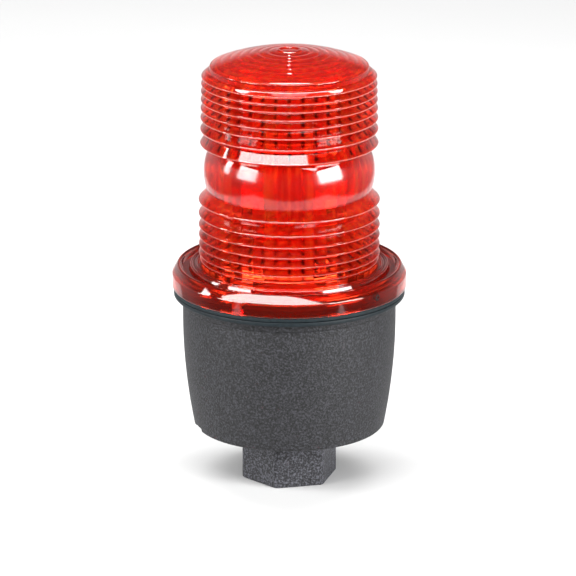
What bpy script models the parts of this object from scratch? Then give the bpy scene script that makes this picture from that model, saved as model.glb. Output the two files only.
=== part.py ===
"""Low-profile strobe warning light on a hexagonal pipe hub, as an assembly of separate solids.

Metres, +Z up. The origin is the centre of the hub's foot, and the light's axis is Z. The front of the
light faces -Y. Bearings are in degrees from the front, positive towards +X.
"""

import math

import bmesh
import bpy

# Hub and housing
HUB_ACROSS_FLATS = 0.0286
HUB_HEIGHT = 0.0188
HUB_TURN = -16.2  # bearing of one of the hexagon's corners
BORE_MOUTH_RADIUS = 0.0096  # 1/2-14 NPT, between the thread's crests and roots
BORE_TAPER = 1 / 32  # radius lost per unit of depth
WIRE_HOLE_RADIUS = 0.0080
FLOOR_TOP = 0.0216
WALL = 0.0026
BODY_RADIUS = 0.0358  # at the top of the body
BODY_FOOT_RADIUS = 0.0320
BODY_BULGE_TOP = 0.0570  # the wall is upright here and curves in below
BODY_TOP = 0.0620
SHOULDER_RADIUS = 0.0364
RIM_RADIUS = 0.0388
RIM_BOTTOM = 0.0645
RIM_TOP = 0.0659
FOOT_CHAMFER = 0.0009
NOTCH_BEARING = -84
NOTCH_WIDTH = 0.0060

# Collar and bayonet
COLLAR_INNER_RADIUS = 0.0315
COLLAR_RADIUS = 0.0349
COLLAR_TOP = 0.0719
LEDGE_RADIUS = 0.0369
LEDGE_BOTTOM = 0.0696
LEDGE_TOP = 0.0714
BAYONET_BEARINGS = (-27, 93, 213)
BAYONET_TRAVEL = 28  # degrees that the lens turns to lock
GAP_WIDTH = 0.0050
LUG_WIDTH = 0.0032
LUG_INNER_RADIUS = 0.0353
STOP_WIDTH = 0.0020

# Lens
SKIRT_BOTTOM = 0.0675
LIP_RADIUS = 0.0393
LIP_ROUND = 0.0025
LIP_TOP = 0.0751
SKIRT_INNER_RADIUS = 0.0372
PLATE_BOTTOM = 0.0722
PLATE_TOP = 0.0737
NECK_RADIUS = 0.0295
NECK_TOP = 0.0764
BELT_CENTRE = 0.1073  # the light's focal plane
BELT_RADIUS = 0.0286
BELT_CURVE = 0.0185  # radius of the belt's bulge
BELT_BELOW = 0.0064
BELT_ABOVE = 0.0086
VALLEY_RADIUS = 0.0273
UPPER_RIBS = 8
LOWER_RIBS = 6
FIRST_RIB_OFFSET = 0.0098  # from the focal plane to the nearest crest
FIRST_RIB_PITCH = 0.00475
UPPER_FAR_PITCH = 0.00245
LOWER_FAR_PITCH = 0.00275
PITCH_DECAY = 0.6
RIB_UNDERCUT = 0.0009  # from a rib's crest down to the valley below it
UPPER_CREST_RADII = (0.0297, 0.0292)  # nearest the belt, nearest the cap
LOWER_CREST_RADIUS = 0.0303
BASE_BEAD_HEIGHT = 0.0770
BASE_BEAD_RADIUS = 0.02985
CAP_RADIUS = 0.02646
CAP_EDGE = 0.1433
CAP_STEP = 0.0022
CROWN_RISE = 0.0052
CAP_BOSS_RADIUS = 0.0040
CAP_BOSS_RISE = 0.0004
LENS_INNER_FOOT = 0.0255
LENS_INNER_TOP = 0.0249
CAP_WALL = 0.0024

# Gasket and lock screw
GASKET_INNER_RADIUS = 0.0369
GASKET_RADIUS = 0.0389
GASKET_BOTTOM = 0.0661
GASKET_TOP = 0.0673
LOCK_SCREW_BEARING = 48
LOCK_SCREW_HEIGHT = 0.0708
LOCK_SCREW_RADIUS = 0.00115

# Circuit board and its screws
BOARD_RADIUS = 0.0305
BOARD_BOTTOM = 0.0560
BOARD_TOP = 0.0576
BOSS_BEARINGS = (60, 180, 300)
BOSS_CIRCLE = 0.0266
BOSS_RADIUS = 0.0034
SCREW_SHANK_RADIUS = 0.0013
SCREW_HEAD_RADIUS = 0.0028
SCREW_HEAD_HEIGHT = 0.0020
SCREW_LENGTH = 0.0095
TOUCH = 0.0003  # the gap kept between pieces that touch

# Flash tube and its socket
SOCKET_RADIUS = 0.0110
SOCKET_TOP = 0.0670
BASE_RADIUS = 0.0102
BASE_BOTTOM = 0.0673
BASE_TOP = 0.0723
BASE_SPIGOT_RADIUS = 0.0083
BASE_SPIGOT_TOP = 0.0750
PIN_RADIUS = 0.00075
PIN_HOLE_RADIUS = 0.00105
PIN_BOTTOM = 0.0594
PIN_CIRCLE = 0.0060
PIN_BEARINGS = (45, 135, 225, 315)
ENVELOPE_RADIUS = 0.00975
ENVELOPE_WALL = 0.0010
ENVELOPE_TOP = 0.1245
LEG_OFFSET = 0.0040
LEG_RADIUS = 0.0020
LEG_BOTTOM = 0.0793
BEND_CENTRE = 0.1150
ELECTRODE_RADIUS = 0.0012
TRIGGER_WIRE_RADIUS = 0.00025
TRIGGER_WIRE_TURNS = 5

BIG_STEPS = 40
SMALL_STEPS = 16


def clear_scene():
    """Removes every object that the file holds."""
    for obj in list(bpy.data.objects):
        bpy.data.objects.remove(obj)


def new_collection(name):
    collection = bpy.data.collections.new(name)
    bpy.context.scene.collection.children.link(collection)
    return collection


clear_scene()
LIGHT = new_collection("warning_light")
CUTTERS = new_collection("cutters")


def material(name, colour, roughness, metallic=0.0, transmission=0.0):
    """A Principled material of one colour."""
    made = bpy.data.materials.new(name)
    made.use_nodes = True
    shader = made.node_tree.nodes["Principled BSDF"]
    shader.inputs["Base Color"].default_value = (*colour, 1.0)
    shader.inputs["Roughness"].default_value = roughness
    shader.inputs["Metallic"].default_value = metallic
    shader.inputs["Transmission Weight"].default_value = transmission
    made.diffuse_color = (*colour, 1.0)
    return made


BLACK_PLASTIC = material("black_plastic", (0.045, 0.046, 0.050), 0.60)
RED_LENS = material("red_lens", (0.80, 0.02, 0.01), 0.08, transmission=0.9)
BLACK_RUBBER = material("black_rubber", (0.015, 0.016, 0.018), 0.75)
CLEAR_GLASS = material("clear_glass", (0.90, 0.93, 0.92), 0.03, transmission=1.0)
WHITE_BOARD = material("white_board", (0.78, 0.78, 0.75), 0.45)
STEEL = material("steel", (0.62, 0.62, 0.60), 0.30, 1.0)
BRASS = material("brass", (0.72, 0.52, 0.22), 0.30, 1.0)
CERAMIC = material("ceramic", (0.82, 0.80, 0.74), 0.60)
CAPACITOR_SLEEVE = material("capacitor_sleeve", (0.03, 0.06, 0.20), 0.35)
FILM_YELLOW = material("film_yellow", (0.72, 0.48, 0.08), 0.40)
VARISTOR_BLUE = material("varistor_blue", (0.05, 0.20, 0.55), 0.35)
TERMINAL_GREEN = material("terminal_green", (0.04, 0.32, 0.12), 0.45)
EPOXY = material("epoxy", (0.02, 0.02, 0.02), 0.40)


def place(name, mesh, finish, location=(0, 0, 0), rotation=(0, 0, 0), collection=LIGHT):
    """Adds a mesh as an object with its material, smooth on round faces and sharp on edges."""
    obj = bpy.data.objects.new(name, mesh)
    collection.objects.link(obj)
    obj.location = location
    obj.rotation_euler = [math.radians(angle) for angle in rotation]
    if finish:
        mesh.materials.append(finish)
    if mesh.polygons:
        mesh.shade_smooth()
        mesh.set_sharp_from_angle(angle=math.radians(35))
    return obj


def mesh_from(name, draw):
    """A mesh drawn by draw(bm)."""
    mesh = bpy.data.meshes.new(name)
    bm = bmesh.new()
    draw(bm)
    bm.to_mesh(mesh)
    bm.free()
    return mesh


def turned(name, outline, finish, steps=BIG_STEPS, **where):
    """A solid turned about Z. The outline's (radius, height) points run down its outer side.
    An outline with both ends on the axis stays open there, and any other is a closed loop."""
    on_axis = outline[0][0] == 0 and outline[-1][0] == 0

    def draw(bm):
        points = [bm.verts.new((radius, 0, height)) for radius, height in outline]
        for first, second in zip(points, points[1:]):
            bm.edges.new((first, second))
        if not on_axis:
            bm.edges.new((points[-1], points[0]))

    obj = place(name, mesh_from(name, draw), finish, **where)
    screw = obj.modifiers.new("turn", "SCREW")
    screw.axis = "Z"
    screw.angle = math.tau
    screw.steps = steps
    screw.render_steps = steps
    screw.use_merge_vertices = True
    screw.merge_threshold = 0.00001
    screw.use_smooth_shade = True
    return obj


def cylinder(name, radius, bottom, top, finish, centre=(0, 0), steps=SMALL_STEPS, top_radius=None,
             **where):
    """An upright cylinder, or a cone where top_radius differs."""

    def draw(bm):
        bmesh.ops.create_cone(
            bm, cap_ends=True, segments=steps, radius1=radius,
            radius2=radius if top_radius is None else top_radius, depth=top - bottom,
        )

    location = (*centre, (bottom + top) / 2)
    return place(name, mesh_from(name, draw), finish, location=location, **where)


def lying_cylinder(name, radius, length, centre, bearing, finish, steps=SMALL_STEPS):
    """A cylinder on its side, along the bearing."""

    def draw(bm):
        bmesh.ops.create_cone(
            bm, cap_ends=True, segments=steps, radius1=radius, radius2=radius, depth=length
        )

    return place(name, mesh_from(name, draw), finish, location=centre, rotation=(90, 0, bearing))


def box(name, size, centre, finish, rotation=(0, 0, 0), bevel=0.0, collection=LIGHT):
    """A box of that size about its centre, with its edges rounded by bevel."""

    def draw(bm):
        bmesh.ops.create_cube(bm, size=1.0)
        bmesh.ops.scale(bm, vec=size, verts=bm.verts)

    obj = place(name, mesh_from(name, draw), finish, centre, rotation, collection)
    if bevel:
        rounding = obj.modifiers.new("edges", "BEVEL")
        rounding.width = bevel
        rounding.segments = 1
    return obj


def radial_box(name, bearing, inner, outer, width, bottom, top):
    """A helper box from radius inner to outer at that bearing. Its origin is on the light's axis."""

    def draw(bm):
        bmesh.ops.create_cube(bm, size=1.0)
        bmesh.ops.scale(bm, vec=(width, outer - inner, top - bottom), verts=bm.verts)
        bmesh.ops.translate(bm, vec=(0, -(inner + outer) / 2, (bottom + top) / 2), verts=bm.verts)

    return place(name, mesh_from(name, draw), None, rotation=(0, 0, bearing), collection=CUTTERS)


def combine(target, tool, operation):
    """Joins a helper to the target, or cuts it away, and hides the helper."""
    tool.hide_render = True
    tool.display_type = "WIRE"
    modifier = target.modifiers.new(f"{operation.lower()} {tool.name}", "BOOLEAN")
    modifier.operation = operation
    modifier.solver = "EXACT"
    modifier.object = tool


def at_bearing(bearing, radius):
    """The point at that bearing and radius, as (x, y)."""
    angle = math.radians(bearing)
    return radius * math.sin(angle), -radius * math.cos(angle)


def wire(name, points, radius, finish, sides=8):
    """A round wire or rod along the points, with closed ends."""
    curve = bpy.data.curves.new(name, "CURVE")
    curve.dimensions = "3D"
    curve.bevel_depth = radius
    curve.bevel_resolution = (sides - 4) // 2
    curve.use_fill_caps = True
    spline = curve.splines.new("POLY")
    spline.points.add(len(points) - 1)
    for point, position in zip(spline.points, points):
        point.co = (*position, 1.0)
    obj = bpy.data.objects.new(name, curve)
    LIGHT.objects.link(obj)
    curve.materials.append(finish)
    return obj


# ---------------------------------------------------------------- housing


def body_radius(height):
    """The outside of the body's wall, an arc that is upright at BODY_BULGE_TOP."""
    below = max(0.0, BODY_BULGE_TOP - height)
    fall = (BODY_RADIUS - BODY_FOOT_RADIUS) / (BODY_BULGE_TOP - HUB_HEIGHT) ** 2
    return BODY_RADIUS - fall * below**2


def heights_between(low, high, count):
    return [low + (high - low) * i / (count - 1) for i in range(count)]


def housing_outline():
    """Up the inside from the floor, over the collar, and down the outside to the foot."""
    inside = [(0, FLOOR_TOP)]
    inside += [(body_radius(z) - WALL, z) for z in heights_between(FLOOR_TOP, 0.0590, 5)]
    inside += [(COLLAR_INNER_RADIUS, 0.0625), (COLLAR_INNER_RADIUS, COLLAR_TOP)]
    collar = [
        (COLLAR_RADIUS - 0.0004, COLLAR_TOP),
        (COLLAR_RADIUS, LEDGE_TOP),
        (LEDGE_RADIUS, LEDGE_TOP),
        (LEDGE_RADIUS, LEDGE_BOTTOM),
        (COLLAR_RADIUS, LEDGE_BOTTOM),
        (COLLAR_RADIUS, RIM_TOP),
    ]
    rim = [
        (RIM_RADIUS - 0.0002, RIM_TOP),
        (RIM_RADIUS, RIM_TOP - 0.0003),
        (RIM_RADIUS, RIM_BOTTOM + 0.0003),
        (RIM_RADIUS - 0.0003, RIM_BOTTOM),
        (SHOULDER_RADIUS, RIM_BOTTOM),
        (SHOULDER_RADIUS, BODY_TOP + 0.0002),
        (BODY_RADIUS, BODY_TOP - 0.0002),
    ]
    wall = [(body_radius(z), z) for z in heights_between(BODY_BULGE_TOP, HUB_HEIGHT + FOOT_CHAMFER, 7)]
    foot = [(BODY_FOOT_RADIUS - FOOT_CHAMFER, HUB_HEIGHT), (0, HUB_HEIGHT)]
    return inside + collar + rim + wall + foot


def hub_prism():
    """The hexagonal hub, which reaches up into the floor."""
    top = HUB_HEIGHT + 0.0014
    corner_radius = HUB_ACROSS_FLATS / math.sqrt(3)
    hub = cylinder("hub_prism", corner_radius, 0, top, None, steps=6, collection=CUTTERS)
    first_corner = math.degrees(math.atan2(hub.data.vertices[0].co.y, hub.data.vertices[0].co.x))
    hub.rotation_euler.z = math.radians(HUB_TURN - 90 - first_corner)
    return hub


def bayonet_stop(bearing):
    """The wall that ends a lug's channel, one lug width past its locked place."""
    clearance = math.degrees((LUG_WIDTH / 2 + STOP_WIDTH / 2) / LUG_INNER_RADIUS) + 1.5
    place_at = bearing - BAYONET_TRAVEL - clearance
    return radial_box(
        f"stop_{bearing}", place_at, COLLAR_RADIUS - 0.0010, LEDGE_RADIUS - 0.0002, STOP_WIDTH,
        RIM_TOP - 0.0004, LEDGE_BOTTOM + 0.0005,
    )


def make_housing():
    """Cup-shaped housing with its hub, screw bosses, collar and bayonet ledges."""
    housing = turned("housing", housing_outline(), BLACK_PLASTIC)
    combine(housing, hub_prism(), "UNION")
    for bearing in BOSS_BEARINGS:
        boss = cylinder(
            f"boss_{bearing}", BOSS_RADIUS, FLOOR_TOP - 0.0010, BOARD_BOTTOM - TOUCH, None,
            centre=at_bearing(bearing, BOSS_CIRCLE), collection=CUTTERS,
        )
        combine(housing, boss, "UNION")
    for bearing in BAYONET_BEARINGS:
        combine(housing, bayonet_stop(bearing), "UNION")

    bore_top = HUB_HEIGHT - 0.0018
    bore = cylinder(
        "pipe_bore", BORE_MOUTH_RADIUS + 0.0010 * BORE_TAPER, -0.0010, bore_top, None, steps=32,
        top_radius=BORE_MOUTH_RADIUS - bore_top * BORE_TAPER, collection=CUTTERS,
    )
    combine(housing, bore, "DIFFERENCE")
    wire_hole = cylinder(
        "wire_hole", WIRE_HOLE_RADIUS, bore_top - 0.0010, FLOOR_TOP + 0.0010, None, steps=32,
        collection=CUTTERS,
    )
    combine(housing, wire_hole, "DIFFERENCE")
    for bearing in BOSS_BEARINGS:
        hole = cylinder(
            f"boss_hole_{bearing}", SCREW_SHANK_RADIUS + TOUCH, BOARD_BOTTOM - SCREW_LENGTH - 0.0010,
            BOARD_BOTTOM, None, centre=at_bearing(bearing, BOSS_CIRCLE), steps=12, collection=CUTTERS,
        )
        combine(housing, hole, "DIFFERENCE")
    for bearing in BAYONET_BEARINGS:
        gap = radial_box(
            f"gap_{bearing}", bearing, COLLAR_RADIUS - 0.0009, LEDGE_RADIUS + 0.0020, GAP_WIDTH,
            LEDGE_BOTTOM - 0.0003, COLLAR_TOP + 0.0010,
        )
        combine(housing, gap, "DIFFERENCE")
    notch = radial_box(
        "drain_notch", NOTCH_BEARING, BODY_FOOT_RADIUS - 0.0026, BODY_FOOT_RADIUS + 0.0030,
        NOTCH_WIDTH, HUB_HEIGHT - 0.0010, HUB_HEIGHT + 0.0013,
    )
    combine(housing, notch, "DIFFERENCE")


# ---------------------------------------------------------------- lens


def rib_heights(count, far_pitch, direction):
    """Crest heights going away from the belt, up for direction 1 and down for -1.
    The pitch shrinks from FIRST_RIB_PITCH towards far_pitch."""
    offset = FIRST_RIB_OFFSET
    heights = []
    for i in range(count):
        heights.append(BELT_CENTRE + direction * offset)
        offset += far_pitch + (FIRST_RIB_PITCH - far_pitch) * PITCH_DECAY**i
    return heights


def rib(crest_radius, crest, valley):
    """One rib, from the valley above it down its sloping top to its crest."""
    return [(VALLEY_RADIUS, valley), (crest_radius, crest)]


def crown_height(radius):
    """The cap's outside, a shallow spherical crown."""
    sphere = (CAP_RADIUS**2 + CROWN_RISE**2) / (2 * CROWN_RISE)
    return CAP_EDGE + CROWN_RISE - sphere + math.sqrt(sphere**2 - radius**2)


def cap_points():
    boss_top = crown_height(0) + CAP_BOSS_RISE
    points = [(0, boss_top), (CAP_BOSS_RADIUS - 0.0003, boss_top)]
    points += [(CAP_RADIUS * t, crown_height(CAP_RADIUS * t)) for t in (0.152, 0.45, 0.75, 1.0)]
    points.append((CAP_RADIUS, CAP_EDGE - CAP_STEP))
    return points


def rib_group(heights, crest_radii, first_valley):
    """Ribs from the top down. Each starts in the valley under the rib above it."""
    points = []
    valley = first_valley
    for crest, crest_radius in zip(heights, crest_radii):
        points += rib(crest_radius, crest, valley)
        valley = crest - RIB_UNDERCUT
    return points


def belt_points():
    """The smooth bulging band across the focal plane, from top to bottom."""
    points = []
    for z in heights_between(BELT_CENTRE + BELT_ABOVE, BELT_CENTRE - BELT_BELOW, 7):
        sag = BELT_CURVE - math.sqrt(BELT_CURVE**2 - (z - BELT_CENTRE) ** 2)
        points.append((BELT_RADIUS - sag, z))
    return points


def flange_points():
    """From the neck, over two low rings and the rounded lip, to the skirt's foot."""
    points = [
        (NECK_RADIUS, NECK_TOP),
        (NECK_RADIUS, 0.0747),
        (0.0310, 0.0752),
        (0.0317, 0.0752),
        (0.0322, 0.0744),
        (0.0330, 0.0750),
        (0.0335, 0.0750),
        (0.0340, PLATE_TOP),
        (0.0359, PLATE_TOP),
        (0.0364, LIP_TOP - 0.0003),
    ]
    for step in range(4):
        angle = math.radians(90 - 30 * step)
        points.append((
            LIP_RADIUS - LIP_ROUND + LIP_ROUND * math.cos(angle),
            LIP_TOP - LIP_ROUND + LIP_ROUND * math.sin(angle),
        ))
    points += [
        (LIP_RADIUS, SKIRT_BOTTOM + 0.0003),
        (LIP_RADIUS - 0.0003, SKIRT_BOTTOM),
        (SKIRT_INNER_RADIUS, SKIRT_BOTTOM),
        (SKIRT_INNER_RADIUS, PLATE_BOTTOM),
    ]
    return points


def lens_inside_points():
    """Up the inside of the dome and across under the cap."""
    cap_inside = CAP_EDGE - CAP_WALL
    points = [(LENS_INNER_FOOT, PLATE_BOTTOM), (LENS_INNER_TOP, cap_inside - 0.0012)]
    points += [
        (radius, crown_height(radius) - CAP_WALL) for radius in (0.0236, 0.0140)
    ]
    points.append((0, crown_height(0) - CAP_WALL))
    return points


def lens_outline():
    """The whole section of the lens, down the outside and up the inside."""
    upper = rib_heights(UPPER_RIBS, UPPER_FAR_PITCH, 1)[::-1]
    near, far = UPPER_CREST_RADII
    upper_radii = [far + (near - far) * i / (UPPER_RIBS - 1) for i in range(UPPER_RIBS)]
    lower = rib_heights(LOWER_RIBS, LOWER_FAR_PITCH, -1) + [BASE_BEAD_HEIGHT]
    lower_radii = [LOWER_CREST_RADIUS] * LOWER_RIBS + [BASE_BEAD_RADIUS]
    lower_group = rib_group(lower, lower_radii, 0)
    return (
        cap_points()
        + rib_group(upper, upper_radii, CAP_EDGE - CAP_STEP - 0.0001)
        + belt_points()
        + lower_group[1:]  # the first rib's top starts at the foot of the belt
        + flange_points()
        + lens_inside_points()
    )


def make_lens():
    """Red lens: ribbed dome, flange, skirt and the three bayonet lugs inside it."""
    lens = turned("lens", lens_outline(), RED_LENS)
    for bearing in BAYONET_BEARINGS:
        lug = radial_box(
            f"lug_{bearing}", bearing, LUG_INNER_RADIUS, SKIRT_INNER_RADIUS + 0.0010, LUG_WIDTH,
            SKIRT_BOTTOM + 0.0002, LEDGE_BOTTOM - TOUCH,
        )
        combine(lens, lug, "UNION")
    screw_hole = radial_hole("lock_screw_hole", LOCK_SCREW_RADIUS + 0.0002, 0.0362, 0.0405)
    combine(lens, screw_hole, "DIFFERENCE")


def radial_hole(name, radius, inner, outer):
    """A cutter through the skirt where the lock screw goes."""
    hole = lying_cylinder(
        name, radius, outer - inner,
        (*at_bearing(LOCK_SCREW_BEARING, (inner + outer) / 2), LOCK_SCREW_HEIGHT),
        LOCK_SCREW_BEARING, None, steps=12,
    )
    LIGHT.objects.unlink(hole)
    CUTTERS.objects.link(hole)
    return hole


def make_lock_screw():
    """Headless screw in the skirt, with a slot across its outer end."""
    inner, outer = SKIRT_INNER_RADIUS + 0.0001, LIP_RADIUS - 0.0002
    screw = lying_cylinder(
        "lock_screw", LOCK_SCREW_RADIUS, outer - inner,
        (*at_bearing(LOCK_SCREW_BEARING, (inner + outer) / 2), LOCK_SCREW_HEIGHT),
        LOCK_SCREW_BEARING, STEEL, steps=12,
    )
    slot = radial_box(
        "lock_screw_slot", LOCK_SCREW_BEARING, outer - 0.0006, outer + 0.0010, 0.0004,
        LOCK_SCREW_HEIGHT - 0.0020, LOCK_SCREW_HEIGHT + 0.0020,
    )
    combine(screw, slot, "DIFFERENCE")


def make_gasket():
    """Flat rubber ring between the lens skirt and the housing's rim."""
    turned("lens_gasket", [
        (GASKET_RADIUS, GASKET_TOP),
        (GASKET_RADIUS, GASKET_BOTTOM),
        (GASKET_INNER_RADIUS, GASKET_BOTTOM),
        (GASKET_INNER_RADIUS, GASKET_TOP),
    ], BLACK_RUBBER)


# ---------------------------------------------------------------- circuit board


def make_board():
    """Round circuit board, held down by three screws."""
    board = cylinder("circuit_board", BOARD_RADIUS, BOARD_BOTTOM, BOARD_TOP, WHITE_BOARD, steps=48)
    for number, bearing in enumerate(BOSS_BEARINGS, 1):
        spot = at_bearing(bearing, BOSS_CIRCLE)
        hole = cylinder(
            f"board_hole_{bearing}", SCREW_SHANK_RADIUS + 0.0004, BOARD_BOTTOM - 0.0010,
            BOARD_TOP + 0.0010, None, centre=spot, steps=12, collection=CUTTERS,
        )
        combine(board, hole, "DIFFERENCE")
        turned(f"board_screw_{number}", pan_screw_outline(), STEEL, steps=SMALL_STEPS,
               location=(*spot, BOARD_TOP + TOUCH))


def pan_screw_outline():
    """A pan head screw, with its head's underside at height 0."""
    return [
        (0, SCREW_HEAD_HEIGHT),
        (SCREW_HEAD_RADIUS * 0.6, SCREW_HEAD_HEIGHT),
        (SCREW_HEAD_RADIUS, SCREW_HEAD_HEIGHT * 0.5),
        (SCREW_HEAD_RADIUS, 0),
        (SCREW_SHANK_RADIUS, 0),
        (SCREW_SHANK_RADIUS, 0.0006 - SCREW_LENGTH),
        (0, -SCREW_LENGTH),
    ]


def can_outline(radius, length):
    """An electrolytic capacitor's can, hanging down from height 0, with the groove round its seal."""
    return [
        (0, 0),
        (radius - 0.0006, 0),
        (radius, -0.0006),
        (radius, -0.0020),
        (radius - 0.0005, -0.0026),
        (radius, -0.0032),
        (radius, 0.0005 - length),
        (radius - 0.0005, -length),
        (0, -length),
    ]


def make_underside_parts():
    """The power supply's parts, which hang under the board inside the housing."""
    hang = BOARD_BOTTOM - TOUCH
    cans = (
        ("main_capacitor", 0.0080, 0.0270, (-0.0160, 0.0040)),
        ("filter_capacitor_1", 0.0052, 0.0200, (0.0140, 0.0130)),
        ("filter_capacitor_2", 0.0052, 0.0200, (0.0020, 0.0155)),
    )
    for name, radius, length, spot in cans:
        turned(name, can_outline(radius, length), CAPACITOR_SLEEVE, steps=16, location=(*spot, hang))
    box("power_resistor", (0.024, 0.008, 0.008), (-0.0020, -0.0140, hang - 0.004), CERAMIC,
        bevel=0.0005)
    lying_cylinder("varistor", 0.0055, 0.0035, (0.0175, -0.0030, hang - 0.0065), 90, VARISTOR_BLUE,
                   steps=20)
    lying_cylinder("fuse", 0.0016, 0.0080, (0.0225, 0.0040, hang - 0.0020), 0, CERAMIC, steps=12)
    make_scr(hang)
    make_terminal_block(hang)


def make_scr(hang):
    """The switching thyristor: an epoxy body on its drilled metal tab."""
    box("scr_body", (0.010, 0.0030, 0.0090), (-0.0040, -0.0225, hang - 0.0045), EPOXY, bevel=0.0003)
    tab = box("scr_tab", (0.010, 0.0012, 0.0150), (-0.0040, -0.0225 - 0.0024, hang - 0.0075), STEEL)
    tab_hole = lying_cylinder("scr_tab_hole", 0.0018, 0.0060, (-0.0040, -0.0249, hang - 0.0122), 0,
                              None, steps=12)
    LIGHT.objects.unlink(tab_hole)
    CUTTERS.objects.link(tab_hole)
    combine(tab, tab_hole, "DIFFERENCE")


def make_terminal_block(hang):
    """Three-pole block where the supply wires end. Its screws face down, towards the hub."""
    centre_x, depth, pitch = 0.0020, 0.0100, 0.0050
    block = box("terminal_block", (0.016, 0.009, depth), (centre_x, 0, hang - depth / 2),
                TERMINAL_GREEN)
    foot = hang - depth
    for number in (1, 2, 3):
        x = centre_x + (number - 2) * pitch
        well = cylinder(f"terminal_well_{number}", 0.0020, foot - 0.0010, foot + 0.0040, None,
                        centre=(x, 0), steps=12, collection=CUTTERS)
        combine(block, well, "DIFFERENCE")
        wire_port = box(f"wire_port_{number}", (0.0030, 0.0060, 0.0030), (x, -0.0040, foot + 0.0066),
                        None, collection=CUTTERS)
        combine(block, wire_port, "DIFFERENCE")
        cylinder(f"terminal_screw_{number}", 0.0017, foot + 0.0012, foot + 0.0037, BRASS,
                 centre=(x, 0), steps=12)


def make_topside_parts():
    """The trigger circuit and the rectifier, on top of the board round the tube's socket."""
    seat = BOARD_TOP + TOUCH
    turned("trigger_transformer", [
        (0, 0.0110), (0.0050, 0.0110), (0.0050, 0.0098), (0.0044, 0.0094), (0.0044, 0.0022),
        (0.0050, 0.0018), (0.0050, 0), (0, 0),
    ], FILM_YELLOW, steps=20, location=(0.0165, 0.0100, seat))
    box("trigger_capacitor", (0.011, 0.006, 0.0095), (-0.0170, 0.0120, seat + 0.00475), FILM_YELLOW,
        bevel=0.0004)
    lying_cylinder("bleeder_resistor", 0.0019, 0.0090, (0.0150, -0.0130, seat + 0.0019), 40, CERAMIC,
                   steps=12)
    for number in range(4):
        spot = (-0.0185, 0.0045 - 0.0042 * number, seat + 0.0014)
        lying_cylinder(f"rectifier_diode_{number + 1}", 0.0014, 0.0052, spot, 90, EPOXY, steps=12)


# ---------------------------------------------------------------- flash tube


def make_socket():
    """The socket on the board, with a hole for each of the tube's pins."""
    socket = cylinder("tube_socket", SOCKET_RADIUS, BOARD_TOP + TOUCH, SOCKET_TOP, CERAMIC, steps=32)
    for bearing in PIN_BEARINGS:
        hole = cylinder(
            f"pin_hole_{bearing}", PIN_HOLE_RADIUS, PIN_BOTTOM - 0.0004, SOCKET_TOP + 0.0010, None,
            centre=at_bearing(bearing, PIN_CIRCLE), steps=12, collection=CUTTERS,
        )
        combine(socket, hole, "DIFFERENCE")


def envelope_outline():
    """A glass tube with a domed top and an open foot."""
    points = []
    for radius, turn in ((ENVELOPE_RADIUS, 1), (ENVELOPE_RADIUS - ENVELOPE_WALL, -1)):
        centre = ENVELOPE_TOP - ENVELOPE_RADIUS
        arc = []
        for step in range(6):
            angle = math.radians(90 - 18 * step)
            arc.append((0 if step == 0 else radius * math.cos(angle), centre + radius * math.sin(angle)))
        arc.append((radius, BASE_TOP + TOUCH))
        points += arc[::turn]
    return points


def make_flash_tube():
    """The plug-in flash tube: base, pins, electrodes, bent discharge tube, trigger wire, envelope."""
    carrier = bpy.data.objects.new("flash_tube_axis", None)
    LIGHT.objects.link(carrier)
    pieces = [
        turned("tube_base", [
            (0, BASE_SPIGOT_TOP), (BASE_SPIGOT_RADIUS, BASE_SPIGOT_TOP), (BASE_SPIGOT_RADIUS, BASE_TOP),
            (BASE_RADIUS, BASE_TOP), (BASE_RADIUS, BASE_BOTTOM), (0, BASE_BOTTOM),
        ], CERAMIC, steps=32),
        turned("tube_envelope", envelope_outline(), CLEAR_GLASS, steps=24),
    ]
    for number, bearing in enumerate(PIN_BEARINGS, 1):
        pieces.append(cylinder(
            f"tube_pin_{number}", PIN_RADIUS, PIN_BOTTOM, BASE_BOTTOM - TOUCH, BRASS,
            centre=at_bearing(bearing, PIN_CIRCLE), steps=10,
        ))
    for name, side in (("cathode", -1), ("anode", 1)):
        pieces.append(cylinder(
            name, ELECTRODE_RADIUS, BASE_SPIGOT_TOP + TOUCH, LEG_BOTTOM - TOUCH, STEEL,
            centre=(side * LEG_OFFSET, 0), steps=12,
        ))
    pieces.append(wire("xenon_tube", discharge_path(), LEG_RADIUS, CLEAR_GLASS, sides=12))
    pieces.append(wire("trigger_wire", trigger_path(), TRIGGER_WIRE_RADIUS, STEEL, sides=6))
    for piece in pieces:
        piece.parent = carrier


def discharge_path():
    """Up one leg, over the bend and down the other."""
    points = [(-LEG_OFFSET, 0, LEG_BOTTOM)]
    for step in range(11):
        angle = math.pi - math.pi * step / 10
        points.append((LEG_OFFSET * math.cos(angle), 0, BEND_CENTRE + LEG_OFFSET * math.sin(angle)))
    points.append((LEG_OFFSET, 0, LEG_BOTTOM))
    return points


def trigger_path():
    """Straight up beside the cathode leg, then wound round the leg."""
    radius = LEG_RADIUS + TOUCH + TRIGGER_WIRE_RADIUS
    bottom, top, per_turn = 0.0830, 0.1130, 8
    points = [(-LEG_OFFSET, radius, BASE_SPIGOT_TOP + TOUCH)]
    steps = TRIGGER_WIRE_TURNS * per_turn
    for step in range(steps + 1):
        angle = math.pi / 2 + math.tau * step / per_turn
        height = bottom + (top - bottom) * step / steps
        points.append((-LEG_OFFSET + radius * math.cos(angle), radius * math.sin(angle), height))
    return points


make_housing()
make_gasket()
make_lens()
make_lock_screw()
make_board()
make_underside_parts()
make_topside_parts()
make_socket()
make_flash_tube()
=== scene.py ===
"""Looks of the strobe warning light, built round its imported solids.

Metres, +Z up, with the light's axis on Z and its front facing -Y. Bearings are in degrees from the
front, positive towards +X. The main sizes repeat the CAD model's, and a comment marks a named size
that differs. The outlines are finer.
"""

import math

import bmesh
import bpy
from mathutils import Matrix, Vector


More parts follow.
